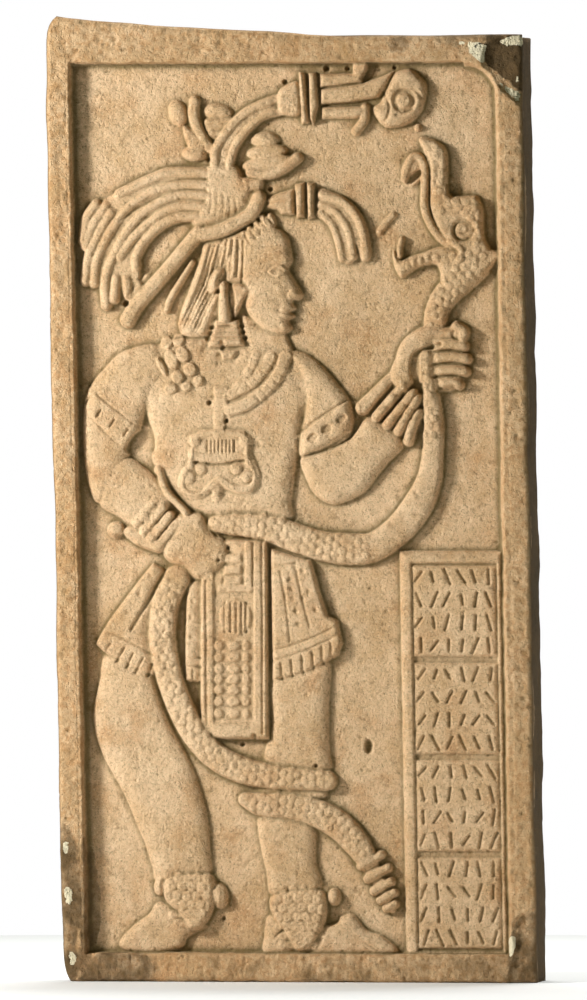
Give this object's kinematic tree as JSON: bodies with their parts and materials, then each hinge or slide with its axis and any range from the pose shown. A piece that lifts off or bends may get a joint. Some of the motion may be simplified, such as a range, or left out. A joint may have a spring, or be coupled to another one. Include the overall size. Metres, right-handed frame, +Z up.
{
  "type": "carved stone panel",
  "caption": "Upright limestone slab with a low relief of a standing figure in a feather headdress holding a serpent, in a raised plain border.",
  "frame": {"origin": "middle of the flat underside", "axes": "+Z up, the carved face looks towards -Y, +X to the right when it is seen from the front"},
  "size_m": [0.8412, 0.191, 1.6396],
  "materials": {
    "limestone": "weathered, chiselled, warm buff"
  },
  "bodies": {
    "root": {"carved_panel": "limestone"}
  },
  "joints": []
}
